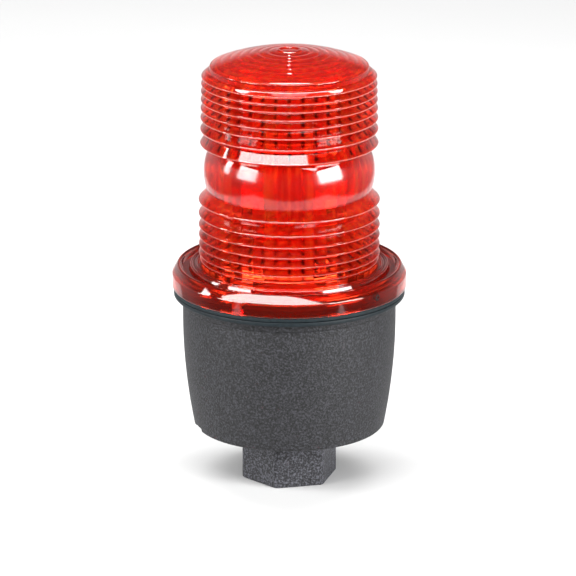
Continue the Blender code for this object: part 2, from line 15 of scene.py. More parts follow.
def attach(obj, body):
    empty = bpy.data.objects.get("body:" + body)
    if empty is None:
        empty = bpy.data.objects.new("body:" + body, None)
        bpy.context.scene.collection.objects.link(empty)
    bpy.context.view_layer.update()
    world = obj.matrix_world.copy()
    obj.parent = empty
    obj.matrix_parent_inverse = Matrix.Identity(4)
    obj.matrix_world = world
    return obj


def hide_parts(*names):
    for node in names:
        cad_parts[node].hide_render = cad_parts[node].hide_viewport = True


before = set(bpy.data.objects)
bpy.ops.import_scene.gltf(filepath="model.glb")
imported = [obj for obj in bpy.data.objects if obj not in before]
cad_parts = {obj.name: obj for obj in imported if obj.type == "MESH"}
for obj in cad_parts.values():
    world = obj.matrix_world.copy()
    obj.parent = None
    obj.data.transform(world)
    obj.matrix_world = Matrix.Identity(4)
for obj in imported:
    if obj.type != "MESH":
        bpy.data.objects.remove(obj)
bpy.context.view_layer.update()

# Lens
BELT_CENTRE = 0.1073
BELT_RADIUS = 0.0286
BELT_CURVE = 0.0185
BELT_BELOW = 0.0064
BELT_ABOVE = 0.0082  # 0.4 mm less than in the CAD model
BELT_FOOT = BELT_CENTRE - BELT_BELOW
BELT_TOP = BELT_CENTRE + BELT_ABOVE
VALLEY_RADIUS = 0.0277  # 0.4 mm more than in the CAD model
UPPER_RIBS = 8
LOWER_RIBS = 6
FIRST_RIB_OFFSET = 0.0098
FIRST_RIB_PITCH = 0.00475
UPPER_FAR_PITCH = 0.00245
LOWER_FAR_PITCH = 0.00275
PITCH_DECAY = 0.6
UPPER_CREST_RADII = (0.0297, 0.0292)
LOWER_CREST_RADIUS = 0.0303
CREST_SHARPNESS = 0.10  # small for a sharp crest
CREST_HIGHLIGHT_BELOW = 0.00017  # half width of the pale highlight painted on the crests below the belt
CREST_HIGHLIGHT_ABOVE = 0.00023
CREASE_START = 0.45  # share of the way from a crest to the valley where the painted shade of the creases starts
CREASE_FADE = 0.017  # the painted shade in the creases reaches full strength this far below the belt
# The painted shade in the creases keeps at least this share of its strength near the belt.
CREASE_LEAST = 0.25
LAND_HEIGHT = 0.0030  # the plain cone above the crest of the first upper rib
LAND_DEPTH = 0.0017
BASE_BEAD_HEIGHT = 0.0770
BASE_BEAD_RADIUS = 0.02985
CAP_RADIUS = 0.02646
CAP_EDGE = 0.1433
CAP_STEP = 0.0022
CROWN_RISE = 0.0052
CAP_RING_PITCH = 0.00320
CAP_RING_DEPTH = 0.00013
CAP_RING_START = 0.0004
CAP_BOSS_RADIUS = 0.0036  # 0.4 mm less than in the CAD model
CAP_BOSS_RISE = 0.00045  # 0.05 mm more than in the CAD model
CAP_BOSS_WIDTH = 0.0006
CAP_WALL = 0.0024
NECK_RADIUS = 0.0295
PLATE_BOTTOM = 0.0722
PLATE_TOP = 0.0737
LIP_RADIUS = 0.0393
LIP_BEVEL_RADIUS = 0.0372  # where the lip's bevel starts. The CAD model's lip is rounded
LIP_BEVEL_TILT = 31
LIP_TOP = 0.0751
FLANGE_RINGS = (0.0313, 0.0328)
SKIRT_BOTTOM = 0.0675
SKIRT_INNER_RADIUS = 0.0372
LENS_INNER_FOOT = 0.0255
LENS_INNER_TOP = 0.0249
FLUTES = 40
FLUTE_DEPTH = 0.00010
FLUTE_SIDES = 9
CREASE_SHADES = {0: 1.0, 1: 0.7, FLUTE_SIDES - 1: 0.7}  # painted shade in the creases, by step round a flute
BAYONET_BEARINGS = (-27, 93, 213)
LUG_WIDTH = 0.0032
LUG_INNER_RADIUS = 0.0353
LUG_TOP = 0.0693
LUG_MARK_HEIGHT = 0.0030
GAP_WIDTH = 0.0050
LOCK_SCREW_BEARING = 48
LOCK_SCREW_HEIGHT = 0.0708
LOCK_SCREW_RADIUS = 0.00115

# Housing
HUB_ACROSS_FLATS = 0.0286
HUB_HEIGHT = 0.0188
HUB_TURN = -16.2
BORE_MOUTH_RADIUS = 0.0098  # the thread's mean, 0.2 mm more than the CAD model's plain bore
BORE_TAPER = 1 / 32
BORE_DEPTH = 0.0170
THREAD_PITCH = 0.0254 / 14
THREAD_DEPTH = 0.0011
HEXAGON_CORNER_CUT = 0.0175  # share of the corner's reach that is taken off
WIRE_HOLE_RADIUS = 0.0080
FLOOR_TOP = 0.0216
WALL = 0.0026
BODY_RADIUS = 0.0358
BODY_FOOT_RADIUS = 0.0320
BODY_BULGE_TOP = 0.0570
BODY_TOP = 0.0620
SHOULDER_RADIUS = 0.0364
RIM_RADIUS = 0.0388
RIM_BOTTOM = 0.0645
RIM_TOP = 0.0659
FOOT_ROUND = 0.0011
NOTCH_BEARING = -74  # nearer the front than in the CAD model, wider and deeper
NOTCH_SIZE = (0.0085, 0.0056, 0.0030)
COLLAR_INNER_RADIUS = 0.0315
COLLAR_RADIUS = 0.0349
COLLAR_TOP = 0.0719
LEDGE_RADIUS = 0.0369
LEDGE_BOTTOM = 0.0696
LEDGE_TOP = 0.0714
BOSS_BEARINGS = (60, 180, 300)
BOSS_CIRCLE = 0.0266
BOARD_BOTTOM = 0.0560
BOARD_TOP = 0.0576
BOARD_RADIUS = 0.0305
BOARD_SEAT = BOARD_TOP + 0.0003  # where the parts on the board stand

# Gasket
GASKET_INNER_RADIUS = 0.0369
GASKET_RADIUS = 0.0389
GASKET_BOTTOM = 0.0661
GASKET_TOP = 0.0673

# Flash tube and its socket
SOCKET_RADIUS = 0.0110
SOCKET_TOP = 0.0670
BASE_RADIUS = 0.0102
BASE_BOTTOM = 0.0673
BASE_TOP = 0.0723
BASE_SPIGOT_RADIUS = 0.0083
BASE_SPIGOT_TOP = 0.0750
PIN_BEARINGS = (45, 135, 225, 315)
PIN_CIRCLE = 0.0060
PIN_RADIUS = 0.00075
PIN_BOTTOM = 0.0594
PIN_LENGTH = 0.0076
ENVELOPE_RADIUS = 0.00975
ENVELOPE_WALL = 0.0010
ENVELOPE_TOP = 0.1245
ENVELOPE_FOOT = 0.0726
LEG_OFFSET = 0.0040
LEG_RADIUS = 0.0020
LEG_BOTTOM = 0.0793
BEND_CENTRE = 0.1150
ELECTRODE_RADIUS = 0.0012
ELECTRODE_BOTTOM = 0.0753
ELECTRODE_TOP = 0.0790
WINDING_RADIUS = 0.00255
WINDING_TURNS = 5
WINDING_BOTTOM = 0.0830
WINDING_RISE = 0.0300

LIGHTS_AIM = Vector((0, 0, 0.09))
STEPS = FLUTES * FLUTE_SIDES  # divisions round the lens, the housing's cup and the gasket


# ---------------------------------------------------------------- mesh helpers


def new_object(name, data):
    """An object with that data, linked to the scene."""
    made = bpy.data.objects.new(name, data)
    bpy.context.scene.collection.objects.link(made)
    return made


def state(piece, body, replaces):
    """Puts a piece on its body and hides the nodes that it stands for."""
    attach(piece, body)
    if replaces:
        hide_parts(*replaces)


def add_piece(name, mesh, body, finish, replaces=(), sharp=32):
    """Adds a mesh as a piece that rides on a body, smooth on round faces and sharp on edges."""
    piece = new_object(name, mesh)
    mesh.materials.append(finish)
    mesh.shade_smooth()
    mesh.set_sharp_from_angle(angle=math.radians(sharp))
    state(piece, body, replaces)
    return piece


def lathe(name, rows, steps=STEPS, closed=False):
    """A mesh of rings about Z. A row is (radius, height), where radius may be a function of the angle.
    Rows run down the outer side. A radius of 0 is a point on the axis. A closed lathe joins its last
    ring to its first."""
    vertices, rings = [], []
    for radius, height in rows:
        if radius == 0:
            rings.append([len(vertices)])
            vertices.append((0, 0, height))
            continue
        rings.append(list(range(len(vertices), len(vertices) + steps)))
        for step in range(steps):
            angle = math.tau * step / steps
            reach = radius(angle) if callable(radius) else radius
            vertices.append((reach * math.cos(angle), reach * math.sin(angle), height))
    faces = []
    pairs = list(zip(rings, rings[1:]))
    if closed:
        pairs.append((rings[-1], rings[0]))
    for above, below in pairs:
        for step in range(steps):
            following = (step + 1) % steps
            if len(above) == 1:
                faces.append((above[0], below[step], below[following]))
            elif len(below) == 1:
                faces.append((above[step], below[0], above[following]))
            else:
                faces.append((above[step], below[step], below[following], above[following]))
    mesh = bpy.data.meshes.new(name)
    mesh.from_pydata(vertices, [], faces)
    return mesh


def moved(mesh, offset=(0, 0, 0), turn=0.0, tip=0.0):
    """Tips a mesh about X, turns it about Z and then moves it."""
    mesh.transform(
        Matrix.Translation(offset)
        @ Matrix.Rotation(math.radians(turn), 4, "Z")
        @ Matrix.Rotation(math.radians(tip), 4, "X")
    )
    return mesh


def arc(centre, radius, start, end, count):
    """Points on an arc of an outline, from angle start to end in degrees."""
    points = []
    for i in range(count):
        angle = math.radians(start + (end - start) * i / (count - 1))
        points.append((centre[0] + radius * math.cos(angle), centre[1] + radius * math.sin(angle)))
    return points


def spread(low, high, count):
    """Evenly spaced values from low to high."""
    return [low + (high - low) * i / (count - 1) for i in range(count)]


def at_bearing(bearing, radius):
    """The X and Y of a spot at that bearing and distance from the axis."""
    angle = math.radians(bearing)
    return radius * math.sin(angle), -radius * math.cos(angle)


def rounded_box(name, size, bevel):
    """A box about the origin with rounded edges."""
    mesh = bpy.data.meshes.new(name)
    bm = bmesh.new()
    bmesh.ops.create_cube(bm, size=1.0)
    bmesh.ops.scale(bm, vec=size, verts=bm.verts)
    bmesh.ops.bevel(bm, geom=bm.edges, offset=bevel, segments=3, profile=0.5, affect="EDGES")
    bm.to_mesh(mesh)
    bm.free()
    return mesh


def sector(name, inner, outer, bottom, top, start, end, count):
    """Part of a ring between two bearings, closed at both ends."""
    corners = ((inner, bottom), (outer, bottom), (outer, top), (inner, top))
    vertices, faces = [], []
    for i in range(count + 1):
        bearing = start + (end - start) * i / count
        for radius, height in corners:
            vertices.append((*at_bearing(bearing, radius), height))
    for i in range(count):
        for side in range(4):
            a, b = 4 * i + side, 4 * i + (side + 1) % 4
            faces.append((a, a + 4, b + 4, b))
    faces += [(0, 1, 2, 3), tuple(4 * count + k for k in (3, 2, 1, 0))]
    mesh = bpy.data.meshes.new(name)
    mesh.from_pydata(vertices, [], faces)
    return mesh


def wire(name, points, radius, body, finish, replaces=(), resolution=4):
    """A round wire along the points, with closed ends."""
    curve = bpy.data.curves.new(name, "CURVE")
    curve.dimensions = "3D"
    curve.bevel_depth = radius
    curve.bevel_resolution = resolution
    curve.use_fill_caps = True
    spline = curve.splines.new("POLY")
    spline.points.add(len(points) - 1)
    for point, position in zip(spline.points, points):
        point.co = (*position, 1.0)
    spline.use_smooth = True
    curve.materials.append(finish)
    state(new_object(name, curve), body, replaces)


# ---------------------------------------------------------------- materials


def new_material(name, colour, roughness, metallic=0.0):
    """A Principled material, returned with its node tree and shader."""
    made = bpy.data.materials.new(name)
    made.use_nodes = True
    shader = made.node_tree.nodes["Principled BSDF"]
    shader.inputs["Base Color"].default_value = (*colour, 1.0)
    shader.inputs["Roughness"].default_value = roughness
    shader.inputs["Metallic"].default_value = metallic
    return made, made.node_tree, shader


def object_noise(tree, scale, detail=3.0, roughness=0.5):
    """A noise texture fixed to the object, with scale in waves per metre."""
    coordinates = tree.nodes.new("ShaderNodeTexCoord")
    noise = tree.nodes.new("ShaderNodeTexNoise")
    noise.inputs["Scale"].default_value = scale
    noise.inputs["Detail"].default_value = detail
    noise.inputs["Roughness"].default_value = roughness
    tree.links.new(coordinates.outputs["Object"], noise.inputs["Vector"])
    return noise.outputs["Fac"]


def ramp(tree, value, stops):
    """Maps a value to colours, with stops of (position, colour)."""
    node = tree.nodes.new("ShaderNodeValToRGB")
    elements = node.color_ramp.elements
    while len(elements) < len(stops):
        elements.new(0.5)
    for element, (position, colour) in zip(elements, stops):
        element.position = position
        element.color = (*colour, 1.0)
    tree.links.new(value, node.inputs["Fac"])
    return node.outputs["Color"]


def bump(tree, shader, height, distance, strength):
    """Roughens a shader's normal by a height, with the distance that it stands for."""
    node = tree.nodes.new("ShaderNodeBump")
    node.inputs["Distance"].default_value = distance
    node.inputs["Strength"].default_value = strength
    tree.links.new(height, node.inputs["Height"])
    tree.links.new(node.outputs["Normal"], shader.inputs["Normal"])


def mottled(name, dark, light, scale, roughness, metallic=0.0, specular=0.5):
    """A finish whose colour wanders between two tones, with a fine grain."""
    made, tree, shader = new_material(name, dark, roughness, metallic)
    shader.inputs["Specular IOR Level"].default_value = specular
    tone = object_noise(tree, scale)
    tree.links.new(ramp(tree, tone, ((0.35, dark), (0.65, light))), shader.inputs["Base Color"])
    bump(tree, shader, object_noise(tree, scale * 6), 0.00002, 0.5)
    return made


def make_pebbled_plastic(name, scale, tones):
    """Dark moulded plastic with a pebbled skin that catches light on its grain."""
    made, tree, shader = new_material(name, (0.05, 0.05, 0.055), 0.60)
    shader.inputs["Specular IOR Level"].default_value = 0.35
    fine = object_noise(tree, scale, 2.0, 0.6)
    stops = [(place, (tone, tone, tone * 1.2)) for place, tone in zip((0.36, 0.50, 0.66), tones)]
    tree.links.new(ramp(tree, fine, stops), shader.inputs["Base Color"])
    bump(tree, shader, fine, 0.00040, 0.8)
    return made


def attribute(tree, name):
    """A number that is stored on the mesh's points."""
    node = tree.nodes.new("ShaderNodeAttribute")
    node.attribute_name = name
    return node.outputs["Fac"]


def blended(tree, share, first, second):
    """A colour that goes from the first to the second as the share goes from 0 to 1."""
    node = tree.nodes.new("ShaderNodeMix")
    node.data_type = "RGBA"
    tree.links.new(share, node.inputs[0])
    for socket, colour in ((node.inputs[6], first), (node.inputs[7], second)):
        if isinstance(colour, tuple):
            socket.default_value = (*colour, 1.0)
        else:
            tree.links.new(colour, socket)
    return node.outputs[2]


def arithmetic(tree, operation, *values):
    """The result of a sum or product, of numbers or of other nodes' outputs."""
    node = tree.nodes.new("ShaderNodeMath")
    node.operation = operation
    for socket, value in zip(node.inputs, values):
        if isinstance(value, (int, float)):
            socket.default_value = value
        else:
            tree.links.new(value, socket)
    return node.outputs[0]


def stretched_noise(tree, across, along):
    """A noise texture that is drawn out along Z, in waves per metre across and along it."""
    coordinates = tree.nodes.new("ShaderNodeTexCoord")
    mapping = tree.nodes.new("ShaderNodeMapping")
    mapping.inputs["Scale"].default_value = (across, across, along)
    noise = tree.nodes.new("ShaderNodeTexNoise")
    noise.inputs["Scale"].default_value = 1.0
    noise.inputs["Detail"].default_value = 2.0
    tree.links.new(coordinates.outputs["Object"], mapping.inputs["Vector"])
    tree.links.new(mapping.outputs["Vector"], noise.inputs["Vector"])
    return noise.outputs["Fac"]


def make_red_polycarbonate(name, clearness, streaks=True):
    """Clear red lens plastic with a polished skin. With streaks it is clouded a little, so that it
    glows evenly, has a pale highlight painted along the crests of its ribs and painted shade in the
    creases between its flutes, and is satin on its belt."""
    made, tree, shader = new_material(name, (0.98, 0.045, 0.012), 0.05)
    shader.inputs["IOR"].default_value = 1.585
    shader.inputs["Transmission Weight"].default_value = clearness
    if streaks:
        # The crests are pale and less clear: a painted highlight.
        crest = attribute(tree, "crest")
        tree.links.new(streaked_red(tree, crest), shader.inputs["Base Color"])
        clear = arithmetic(tree, "MULTIPLY_ADD", crest, -0.22, clearness)
        tree.links.new(clear, shader.inputs["Transmission Weight"])
        rough = arithmetic(tree, "MULTIPLY_ADD", attribute(tree, "satin"), 0.10, 0.05)
        tree.links.new(rough, shader.inputs["Roughness"])
    else:
        stops = ((0.3, (0.96, 0.040, 0.010)), (0.7, (0.99, 0.055, 0.014)))
        tree.links.new(ramp(tree, object_noise(tree, 140, 2.0), stops), shader.inputs["Base Color"])
    bump(tree, shader, object_noise(tree, 220, 2.0), 0.00003, 0.25)
    return made


def streaked_red(tree, crest):
    """Upright streaks of red, with patchy painted shade in the creases and a pale painted highlight on the
    crests.
    """
    streaks = ((0.38, (0.80, 0.016, 0.005)), (0.52, (0.92, 0.030, 0.007)), (0.64, (0.99, 0.080, 0.010)))
    red = ramp(tree, stretched_noise(tree, 520, 12), streaks)
    # Patchy dark in the creases: painted shade.
    patches = ramp(tree, object_noise(tree, 260, 2.0), ((0.36, (0.1, 0.1, 0.1)), (0.50, (1, 1, 1))))
    painted_crease_shade = arithmetic(tree, "MULTIPLY", attribute(tree, "painted_crease_shade"), patches)
    red = blended(tree, painted_crease_shade, red, (0.004, 0.001, 0.001))
    # Pale along the crests: a painted highlight.
    return blended(tree, arithmetic(tree, "MULTIPLY", crest, 0.62), red, (1.0, 0.60, 0.52))


def make_glass():
    """Clear glass with milky streaks along it."""
    made, tree, shader = new_material("clear_glass", (0.97, 0.99, 0.98), 0.01)
    shader.inputs["Transmission Weight"].default_value = 1.0
    shader.inputs["IOR"].default_value = 1.47
    milky = stretched_noise(tree, 700, 10)
    tree.links.new(ramp(tree, milky, ((0.40, (0.92, 0.92, 0.92)), (0.62, (0.45, 0.45, 0.45)))),
                   shader.inputs["Transmission Weight"])
    bump(tree, shader, object_noise(tree, 150, 1.0), 0.00003, 0.2)
    return made


PEBBLED_PLASTIC = make_pebbled_plastic("pebbled_plastic", 1500, (0.001, 0.008, 0.029))
# The same pebbled plastic in lighter tones, for the hub.
LIGHTER_PEBBLED_PLASTIC = make_pebbled_plastic("lighter_pebbled_plastic", 1500, (0.003, 0.020, 0.075))
RED_PLASTIC = make_red_polycarbonate("red_polycarbonate", 0.88)
CLEAR_RED_PLASTIC = make_red_polycarbonate("clear_red_polycarbonate", 0.97, streaks=False)
# A pale red for the patch that shows through the skirt at each lug.
PALE_RED = mottled("pale_red", (0.36, 0.12, 0.10), (0.46, 0.16, 0.13), 600, 0.5)
GLASS = make_glass()
RIM_PLASTIC = mottled("smooth_rim", (0.005, 0.008, 0.010), (0.009, 0.014, 0.017), 700, 0.5, specular=0.2)
RUBBER = mottled("gasket_rubber", (0.005, 0.009, 0.011), (0.009, 0.015, 0.018), 700, 0.6, specular=0.2)
INNER_PLASTIC = mottled("inner_plastic", (0.018, 0.018, 0.020), (0.030, 0.030, 0.033), 500, 0.42)
BOARD_WHITE = mottled("solder_mask", (0.60, 0.60, 0.57), (0.70, 0.70, 0.67), 220, 0.30)
STEEL = mottled("zinc_plate", (0.50, 0.50, 0.48), (0.68, 0.68, 0.66), 600, 0.28, 1.0)
BLACK_STEEL = mottled("black_oxide_steel", (0.020, 0.018, 0.018), (0.040, 0.036, 0.036), 600, 0.40, 1.0)
BRASS = mottled("brass", (0.62, 0.43, 0.16), (0.78, 0.58, 0.26), 600, 0.25, 1.0)
SOLDER = mottled("solder", (0.55, 0.56, 0.58), (0.72, 0.73, 0.75), 900, 0.30, 1.0)
CERAMIC = mottled("ceramic", (0.70, 0.67, 0.60), (0.84, 0.82, 0.76), 500, 0.62)
SLEEVE = mottled("capacitor_sleeve", (0.018, 0.035, 0.12), (0.030, 0.055, 0.18), 300, 0.28)
FILM_YELLOW = mottled("film_yellow", (0.62, 0.38, 0.05), (0.78, 0.53, 0.10), 350, 0.35)
VARISTOR_BLUE = mottled("varistor_blue", (0.03, 0.14, 0.42), (0.06, 0.22, 0.58), 350, 0.32)
TERMINAL_GREEN = mottled("terminal_green", (0.03, 0.25, 0.09), (0.05, 0.36, 0.14), 350, 0.42)
EPOXY = mottled("epoxy", (0.012, 0.012, 0.012), (0.028, 0.028, 0.028), 900, 0.40)
PAINT_BROWN = mottled("band_brown", (0.16, 0.06, 0.02), (0.20, 0.08, 0.03), 500, 0.4)
PAINT_RED = mottled("band_red", (0.55, 0.03, 0.02), (0.62, 0.05, 0.03), 500, 0.4)


# ---------------------------------------------------------------- lens


def rib_heights(count, far_pitch, direction):
    """Crest heights going away from the belt, up for direction 1 and down for -1."""
    offset = FIRST_RIB_OFFSET
    heights = []
    for i in range(count):
        heights.append(BELT_CENTRE + direction * offset)
        offset += far_pitch + (FIRST_RIB_PITCH - far_pitch) * PITCH_DECAY**i
    return heights


def crown_height(radius):
    """The cap's outside without its rings: a shallow spherical crown."""
    sphere = (CAP_RADIUS**2 + CROWN_RISE**2) / (2 * CROWN_RISE)
    return CAP_EDGE + CROWN_RISE - sphere + math.sqrt(sphere**2 - radius**2)


def cap_surface(radius):
    """The crown with its concentric rings and the dished boss at its centre."""
    ring = CAP_RING_DEPTH * abs(math.sin(math.pi * (radius - CAP_RING_START) / CAP_RING_PITCH))
    boss = CAP_BOSS_RISE * math.exp(-((radius - CAP_BOSS_RADIUS) / CAP_BOSS_WIDTH) ** 2)
    if radius < CAP_BOSS_RADIUS + 0.0008:
        ring = 0
    return crown_height(radius) - CAP_RING_DEPTH + ring + boss


def cap_rows():
    """From the cap's centre over its rounded edge to the groove above the first rib."""
    rows = [(radius, cap_surface(radius)) for radius in spread(0, CAP_RADIUS - 0.0005, 140)]
    edge = (CAP_RADIUS - 0.0004, CAP_EDGE - 0.0003)
    rows += arc(edge, 0.0004, 70, 0, 5)
    rows.append((CAP_RADIUS, CAP_EDGE - CAP_STEP + 0.0002))
    return rows


def rib_rows(crest, above, below, radius):
    """A rib's flanks and rounded crest, between the valleys above and below it."""
    rows = []
    for t in (1, 0.75, 0.5, 0.3, 0.16, 0.06, 0, -0.06, -0.16, -0.3, -0.5, -0.75):
        reach = above - crest if t > 0 else crest - below
        fall = math.hypot(t, CREST_SHARPNESS) - CREST_SHARPNESS
        share = fall / (math.hypot(1, CREST_SHARPNESS) - CREST_SHARPNESS)
        rows.append((radius - (radius - VALLEY_RADIUS) * share, crest + t * reach))
    return rows


def ribs_between(crests, radii, top, bottom):
    """Rows of a stack of ribs, given from the top down."""
    rows = []
    for i, (crest, radius) in enumerate(zip(crests, radii)):
        above = top if i == 0 else (crests[i - 1] + crest) / 2
        below = bottom if i == len(crests) - 1 else (crest + crests[i + 1]) / 2
        rows += rib_rows(crest, above, below, radius)
    return rows


def belt_rows():
    """The smooth band across the focal plane, a plain barrel."""
    rows = []
    for height in spread(BELT_TOP, BELT_FOOT, 36):
        sag = BELT_CURVE - math.sqrt(BELT_CURVE**2 - (height - BELT_CENTRE) ** 2)
        rows.append((BELT_RADIUS - sag, height))
    return rows


def flange_rows():
    """From the neck over two low rings and the bevelled lip, down and under to the plate's underside."""
    rows = [(NECK_RADIUS, 0.0762), (NECK_RADIUS, 0.0750)]
    rows += arc((0.0303, 0.0748), 0.0008, 180, 240, 4)
    for ring in FLANGE_RINGS:
        rows += arc((ring, 0.0747), 0.0006, 170, 10, 8)
    rows += [(0.0338, PLATE_TOP), (0.0357, PLATE_TOP)]
    rows += arc((0.0370, 0.0744), 0.0007, 180, 90, 5)
    top_round, side_round = 0.0005, 0.0010
    rows += arc((LIP_BEVEL_RADIUS, LIP_TOP - top_round), top_round, 90, LIP_BEVEL_TILT, 5)
    radius, height = rows[-1]
    foot = arc((LIP_RADIUS - side_round, 0), side_round, LIP_BEVEL_TILT, 0, 6)
    fall = (foot[0][0] - radius) / math.tan(math.radians(LIP_BEVEL_TILT))
    rows += [(r, z + height - fall - foot[0][1]) for r, z in foot]
    rows += [(LIP_RADIUS, rows[-1][1] - 0.0001), (LIP_RADIUS, SKIRT_BOTTOM + 0.0004)]
    rows += arc((LIP_RADIUS - 0.0003, SKIRT_BOTTOM + 0.0003), 0.0003, 0, -90, 4)
    rows += [(SKIRT_INNER_RADIUS, SKIRT_BOTTOM)]
    rows += arc((SKIRT_INNER_RADIUS - 0.0015, PLATE_BOTTOM - 0.0015), 0.0015, 0, 90, 8)
    return rows


def fluted(radius):
    """A radius that swells inwards on each of the flutes inside the dome."""

    def reach(angle):
        across = (angle * FLUTES / math.tau) % 1
        return radius - FLUTE_DEPTH * (1 - (2 * across - 1) ** 2)

    return reach


def inside_rows():
    """The fluted inside of the dome and the smooth inside of the cap."""
    top = CAP_EDGE - CAP_WALL - 0.0012
    rows = [(fluted(LENS_INNER_FOOT), PLATE_BOTTOM)]
    for share in spread(0, 1, 24):
        radius = LENS_INNER_FOOT + (LENS_INNER_TOP - LENS_INNER_FOOT) * share
        rows.append((fluted(radius), PLATE_BOTTOM + 0.0006 + (top - PLATE_BOTTOM - 0.0006) * share))
    rows += [(radius, crown_height(radius) - CAP_WALL) for radius in spread(0.0236, 0.0010, 24)]
    rows.append((0, crown_height(0) - CAP_WALL))
    return rows


def mark_ribs(mesh, crests):
    """Marks the ribs' crests for a painted highlight, the creases that the flutes leave in their valleys
    for painted shade, and the belt. The painted shade fades towards the belt on the ribs below it."""
    crest_highlight_marks = mesh.attributes.new("crest", "FLOAT", "POINT")
    painted_crease_shade_marks = mesh.attributes.new("painted_crease_shade", "FLOAT", "POINT")
    satin_marks = mesh.attributes.new("satin", "FLOAT", "POINT")
    for index, vertex in enumerate(mesh.vertices):
        x, y, height = vertex.co
        if math.hypot(x, y) < VALLEY_RADIUS - 0.0002 or height > CAP_EDGE - CAP_STEP:
            continue
        if BELT_FOOT < height < BELT_TOP:
            satin_marks.data[index].value = 1.0
            continue
        lower = height < BELT_FOOT
        near, far = sorted(abs(height - crest) for crest in crests)[:2]
        # A painted highlight along each crest.
        crest_highlight_marks.data[index].value = max(0.0, 1 - near / (CREST_HIGHLIGHT_BELOW if lower else CREST_HIGHLIGHT_ABOVE))
        # Painted shade in the creases at each flute's edges.
        if near > CREASE_START * (near + far) / 2:
            step = round(math.atan2(y, x) * STEPS / math.tau) % FLUTE_SIDES
            fade = min(1.0, max(CREASE_LEAST, (BELT_FOOT - height) / CREASE_FADE)) if lower else 1.0
            painted_crease_shade_marks.data[index].value = fade * CREASE_SHADES.get(step, 0.0)


def refinish(piece, finish, below=-1.0, above=10.0):
    """Gives the faces below or above a height a second finish."""
    piece.data.materials.append(finish)
    slot = len(piece.data.materials) - 1
    for face in piece.data.polygons:
        if face.center.z < below or face.center.z > above:
            face.material_index = slot


def with_land(rows, crest):
    """The rows with a plain cone in place of the upper flank of the first upper rib."""
    touch = 0.00005
    radius = UPPER_CREST_RADII[0]
    land = [(radius - LAND_DEPTH * share, crest + LAND_HEIGHT * share) for share in (1.0, 0.7, 0.4, 0.1)]
    rows = [row for row in rows if not crest + touch < row[1] < crest + LAND_HEIGHT]
    place = next(i for i, row in enumerate(rows) if row[1] <= crest + touch)
    return rows[:place] + land + rows[place:]


def outside_rows(upper, lower):
    """From the cap's centre over the ribs and the belt to the bead above the flange."""
    near, far = UPPER_CREST_RADII
    upper_radii = [far + (near - far) * i / (UPPER_RIBS - 1) for i in range(UPPER_RIBS)]
    lower_radii = [LOWER_CREST_RADIUS] * LOWER_RIBS + [BASE_BEAD_RADIUS]
    rows = cap_rows() + ribs_between(upper, upper_radii, CAP_EDGE - CAP_STEP, BELT_TOP + 0.0002)
    rows = with_land(rows, upper[-1]) + belt_rows()
    return rows + ribs_between(lower, lower_radii, BELT_FOOT - 0.0006, BASE_BEAD_HEIGHT - 0.0006)[1:]


def make_lens():
    """The red dome in one piece with its flange and skirt."""
    upper = rib_heights(UPPER_RIBS, UPPER_FAR_PITCH, 1)[::-1]
    lower = rib_heights(LOWER_RIBS, LOWER_FAR_PITCH, -1) + [BASE_BEAD_HEIGHT]
    mesh = lathe("lens_dome", outside_rows(upper, lower) + flange_rows() + inside_rows())
    mark_ribs(mesh, upper + lower)
    dome = add_piece("lens_dome", mesh, "lens_body", RED_PLASTIC, replaces=["lens"], sharp=40)
    refinish(dome, CLEAR_RED_PLASTIC, below=BASE_BEAD_HEIGHT - 0.0008)


def make_lugs():
    """The bayonet lugs inside the skirt, and the pale patch that shows through it at each of them."""
    half = math.degrees(LUG_WIDTH / 2 / LUG_INNER_RADIUS)
    foot = LUG_TOP - 0.0002
    for number, bearing in enumerate(BAYONET_BEARINGS, 1):
        lug = sector(f"lens_lug_{number}", LUG_INNER_RADIUS, SKIRT_INNER_RADIUS - 0.00005,
                     SKIRT_BOTTOM + 0.0002, LUG_TOP, bearing - half, bearing + half, 6)
        add_piece(f"lens_lug_{number}", lug, "lens_body", RED_PLASTIC)
        mark = sector(f"lug_mark_{number}", SKIRT_INNER_RADIUS - 0.0001, SKIRT_INNER_RADIUS + 0.0001,
                      foot, foot + LUG_MARK_HEIGHT, bearing - half, bearing + half, 6)
        add_piece(f"lug_mark_{number}", mark, "lens_body", PALE_RED)


def make_lock_screw():
    """Headless screw in the skirt, with a socket in its outer end."""
    outer = LIP_RADIUS + 0.00005
    inner = SKIRT_INNER_RADIUS + 0.0001
    radius = LOCK_SCREW_RADIUS
    socket = hexagonal(radius, turn=0)  # a hexagon as wide across its flats as the screw's radius
    rows = [(0, outer - 0.0009), (socket, outer - 0.0008), (socket, outer)]
    rows += [(radius - 0.0002, outer), (radius, outer - 0.0002), (radius, inner), (0, inner)]
    mesh = moved(lathe("set_screw", rows, 48), tip=90)
    mesh = moved(mesh, (0, 0, LOCK_SCREW_HEIGHT), LOCK_SCREW_BEARING)
    add_piece("set_screw", mesh, "lock_screw_body", BLACK_STEEL,
              replaces=["lock_screw"], sharp=25)


# ---------------------------------------------------------------- housing and gasket


def body_radius(height):
    """The outside of the body's wall, a parabola that is upright at BODY_BULGE_TOP."""
    below = max(0.0, BODY_BULGE_TOP - height)
    fall = (BODY_RADIUS - BODY_FOOT_RADIUS) / (BODY_BULGE_TOP - HUB_HEIGHT) ** 2
    return BODY_RADIUS - fall * below**2


